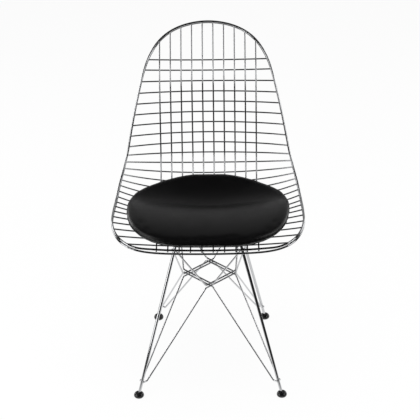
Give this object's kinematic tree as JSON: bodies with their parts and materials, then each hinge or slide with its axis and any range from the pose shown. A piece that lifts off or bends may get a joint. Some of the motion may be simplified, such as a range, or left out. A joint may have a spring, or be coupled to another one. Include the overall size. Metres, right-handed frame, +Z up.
{
  "type": "wire mesh chair",
  "caption": "Side chair with a bucket shell of welded wire, double rim, braced rod legs on tilting feet and a lift-off oval leather seat pad.",
  "frame": {"origin": "on the floor below the middle of the chair's own reach", "axes": "+Z up, the chair faces -Y, +X to the right in the front view's picture"},
  "size_m": [0.4794, 0.5184, 0.8418],
  "materials": {
    "shell_wire": "bright chrome plate on welded steel wire",
    "base_rod": "bright chrome plate on welded steel rod",
    "screw_steel": "zinc plated steel",
    "glide_nylon": "smooth black nylon",
    "pad_leather": "smooth black leather with a soft sheen",
    "pad_board": "stiff black board under the pad",
    "pad_clip": "black plastic clips"
  },
  "bodies": {
    "frame": {"rim_wire_upper": "shell_wire", "rim_wire_lower": "shell_wire", "long_wire_01": "shell_wire", "long_wire_02": "shell_wire", "long_wire_03": "shell_wire", "long_wire_04": "shell_wire", "long_wire_05": "shell_wire", "long_wire_06": "shell_wire", "long_wire_07": "shell_wire", "long_wire_08": "shell_wire", "long_wire_09": "shell_wire", "long_wire_10": "shell_wire", "cross_wire_01": "shell_wire", "cross_wire_02": "shell_wire", "cross_wire_03": "shell_wire", "cross_wire_04": "shell_wire", "cross_wire_05": "shell_wire", "cross_wire_06": "shell_wire", "cross_wire_07": "shell_wire", "cross_wire_08": "shell_wire", "cross_wire_09": "shell_wire", "cross_wire_10": "shell_wire", "cross_wire_11": "shell_wire", "cross_wire_12": "shell_wire", "cross_wire_13": "shell_wire", "cross_wire_14": "shell_wire", "cross_wire_15": "shell_wire", "cross_wire_16": "shell_wire", "cross_wire_17": "shell_wire", "cross_wire_18": "shell_wire", "cross_wire_19": "shell_wire", "cross_wire_20": "shell_wire", "cross_wire_21": "shell_wire", "cross_wire_22": "shell_wire", "cross_wire_23": "shell_wire", "cross_wire_24": "shell_wire", "cross_wire_25": "shell_wire", "side_frame_left": "base_rod", "side_frame_right": "base_rod", "lower_brace_1": "base_rod", "lower_brace_2": "base_rod", "lower_brace_3": "base_rod", "lower_brace_4": "base_rod", "upper_brace_1": "base_rod", "upper_brace_2": "base_rod", "upper_brace_3": "base_rod", "upper_brace_4": "base_rod", "shell_plates": "base_rod", "base_plates": "base_rod", "mount_screws": "screw_steel", "ball_studs": "screw_steel"},
    "seat_pad": {"pad_cushion": "pad_leather", "pad_base": "pad_board", "pad_clips": "pad_clip"},
    "glide_front_left": {"glide_front_left": "glide_nylon"},
    "glide_front_right": {"glide_front_right": "glide_nylon"},
    "glide_back_left": {"glide_back_left": "glide_nylon"},
    "glide_back_right": {"glide_back_right": "glide_nylon"}
  },
  "joints": [
    {"name": "glide_front_left_tilt", "type": "hinge", "parent": "frame", "child": "glide_front_left", "pos_m": [-0.183, -0.22777, 0.007], "axis": [-0.5303, 0.8478, 0], "range_deg": [-8, 8]},
    {"name": "glide_front_right_tilt", "type": "hinge", "parent": "frame", "child": "glide_front_right", "pos_m": [0.183, -0.22777, 0.007], "axis": [-0.5303, -0.8478, 0], "range_deg": [-8, 8]},
    {"name": "glide_back_left_tilt", "type": "hinge", "parent": "frame", "child": "glide_back_left", "pos_m": [-0.147, 0.14623, 0.007], "axis": [0.762, 0.6475, 0], "range_deg": [-8, 8]},
    {"name": "glide_back_right_tilt", "type": "hinge", "parent": "frame", "child": "glide_back_right", "pos_m": [0.147, 0.14623, 0.007], "axis": [0.762, -0.6475, 0], "range_deg": [-8, 8]},
    {"name": "seat_pad_lift", "type": "slide", "parent": "frame", "child": "seat_pad", "axis": [0, 0, 1], "range_m": [0, 0.1]}
  ]
}
